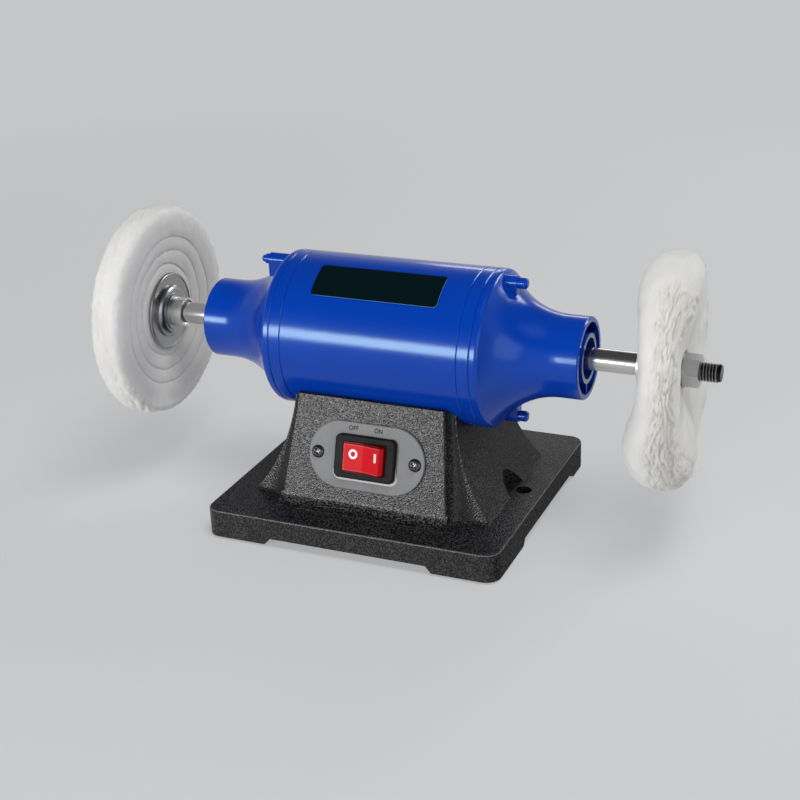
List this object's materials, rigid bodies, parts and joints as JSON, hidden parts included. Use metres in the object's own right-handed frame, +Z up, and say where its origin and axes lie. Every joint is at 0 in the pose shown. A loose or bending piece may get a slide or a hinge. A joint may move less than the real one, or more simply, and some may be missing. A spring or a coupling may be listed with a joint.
{
  "type": "bench polishing machine",
  "caption": "Bench polisher: blue motor with a spindle out of both ends, a cotton buff on each, on a black cast pedestal with a red rocker switch.",
  "frame": {"origin": "on the bench, under the middle of the base plate", "axes": "+X along the spindle to the loose buff, -Y towards the user and the switch, +Z up"},
  "size_m": [0.4452, 0.1956, 0.2005],
  "materials": {
    "cast_black": "black textured paint on rough cast iron",
    "motor_blue": "gloss royal blue paint on cast aluminium",
    "plate_dark": "dark anodised plate, bare",
    "switch_grey": "satin mid grey",
    "switch_black": "satin black",
    "rocker_red": "gloss red",
    "steel_bright": "bright turned steel",
    "steel_dark": "blackened steel",
    "steel_grey": "plain zinc-plated steel",
    "laminations": "stamped electrical steel",
    "copper": "enamelled copper wire",
    "cast_aluminium": "die-cast, bare",
    "cotton": "white cotton plies",
    "rubber_black": "matt black rubber",
    "plastic_white": "cream moulded plastic",
    "brass": "plain brass",
    "bolt_blue": "gloss royal blue paint on steel"
  },
  "bodies": {
    "base": {"base_casting": "cast_black", "bottom_cover": "steel_grey", "bottom_cover_screws": "steel_grey", "switch_plate": "switch_grey", "switch_plate_screws": "steel_dark", "switch_body": "switch_black", "switch_terminals": "brass", "motor_housing": "motor_blue", "name_plate": "plate_dark", "tie_bolts": "bolt_blue", "tie_bolt_nuts": "bolt_blue", "stator_core": "laminations", "wave_washer": "steel_grey", "run_capacitor": "plastic_white", "capacitor_clip": "steel_grey", "terminal_block": "plastic_white", "motor_studs": "steel_grey", "motor_stud_nuts": "steel_grey", "lead_grommet": "rubber_black", "motor_lead": "rubber_black", "switch_lead": "rubber_black", "cable_gland": "switch_black", "gland_locknut": "switch_black", "front_left_pad": "rubber_black", "front_right_pad": "rubber_black", "back_left_pad": "rubber_black", "back_right_pad": "rubber_black", "left_end_bell": "motor_blue", "left_winding_head": "copper", "left_bearing_outer_ring": "steel_bright", "left_bearing_seals": "rubber_black", "right_end_bell": "motor_blue", "right_winding_head": "copper", "right_bearing_outer_ring": "steel_bright", "right_bearing_seals": "rubber_black"},
    "spindle": {"spindle": "steel_bright", "rotor_core": "laminations", "left_rotor_ring": "cast_aluminium", "left_bearing_inner_ring": "steel_bright", "left_sleeve": "steel_bright", "left_flange": "steel_bright", "left_buff": "cotton", "left_washer": "steel_grey", "left_nut": "steel_dark", "right_rotor_ring": "cast_aluminium", "right_bearing_inner_ring": "steel_bright", "right_sleeve": "steel_bright", "right_flange": "steel_bright", "right_buff": "cotton", "right_washer": "steel_grey", "right_nut": "steel_dark"},
    "left_ball_cage": {"left_bearing_balls": "steel_bright", "left_bearing_cage": "brass"},
    "right_ball_cage": {"right_bearing_balls": "steel_bright", "right_bearing_cage": "brass"},
    "rocker": {"rocker": "rocker_red"}
  },
  "joints": [
    {"name": "spindle_spin", "type": "hinge", "parent": "base", "child": "spindle", "pos_m": [0, 0, 0.1235], "axis": [1, 0, 0], "continuous": true},
    {"name": "left_cage_spin", "type": "hinge", "parent": "base", "child": "left_ball_cage", "pos_m": [-0.1145, 0, 0.1235], "axis": [1, 0, 0], "continuous": true},
    {"name": "right_cage_spin", "type": "hinge", "parent": "base", "child": "right_ball_cage", "pos_m": [0.1145, 0, 0.1235], "axis": [1, 0, 0], "continuous": true},
    {"name": "rocker_tilt", "type": "hinge", "parent": "base", "child": "rocker", "pos_m": [0.0008, -0.0617, 0.05877], "axis": [0, 0.2778, 0.9606], "range_deg": [0, 22]}
  ],
  "couplings": [
    {"joint": "left_cage_spin", "follows": "spindle_spin", "ratio": 0.388},
    {"joint": "right_cage_spin", "follows": "spindle_spin", "ratio": 0.388}
  ]
}
